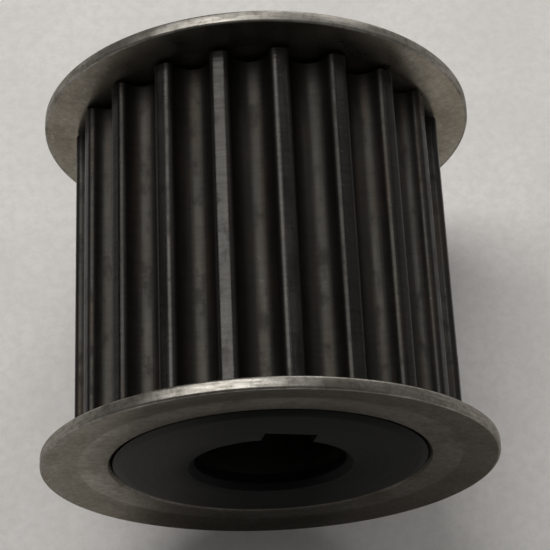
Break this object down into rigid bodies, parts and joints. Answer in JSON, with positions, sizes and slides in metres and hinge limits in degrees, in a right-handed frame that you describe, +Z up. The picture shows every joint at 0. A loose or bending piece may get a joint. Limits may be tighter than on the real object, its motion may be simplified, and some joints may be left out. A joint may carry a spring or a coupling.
{
  "type": "timing belt pulley",
  "caption": "Flanged timing belt pulley: a black-oxide toothed steel body with a keyed bore and a thin steel belt flange rolled onto each end; it drives a 5 mm pitch belt.",
  "frame": {"origin": "centre of the bore at mid width, which is the centre of the overall box", "axes": "+Y along the bore axis towards the rear flange, +Z up as the pulley lies on its flange rims, +X to the right seen from the front flange"},
  "size_m": [0.036, 0.0308, 0.036],
  "materials": {
    "toothed_body": "black oxide over a machined surface, satin, rubbed grey on the tooth lands",
    "front_flange": "pressed steel with fine turning marks, stains and a burnished rim",
    "rear_flange": "pressed steel with fine turning marks, stains and a burnished rim"
  },
  "bodies": {
    "root": {"toothed_body": "toothed_body", "front_flange": "front_flange", "rear_flange": "rear_flange"}
  },
  "joints": []
}
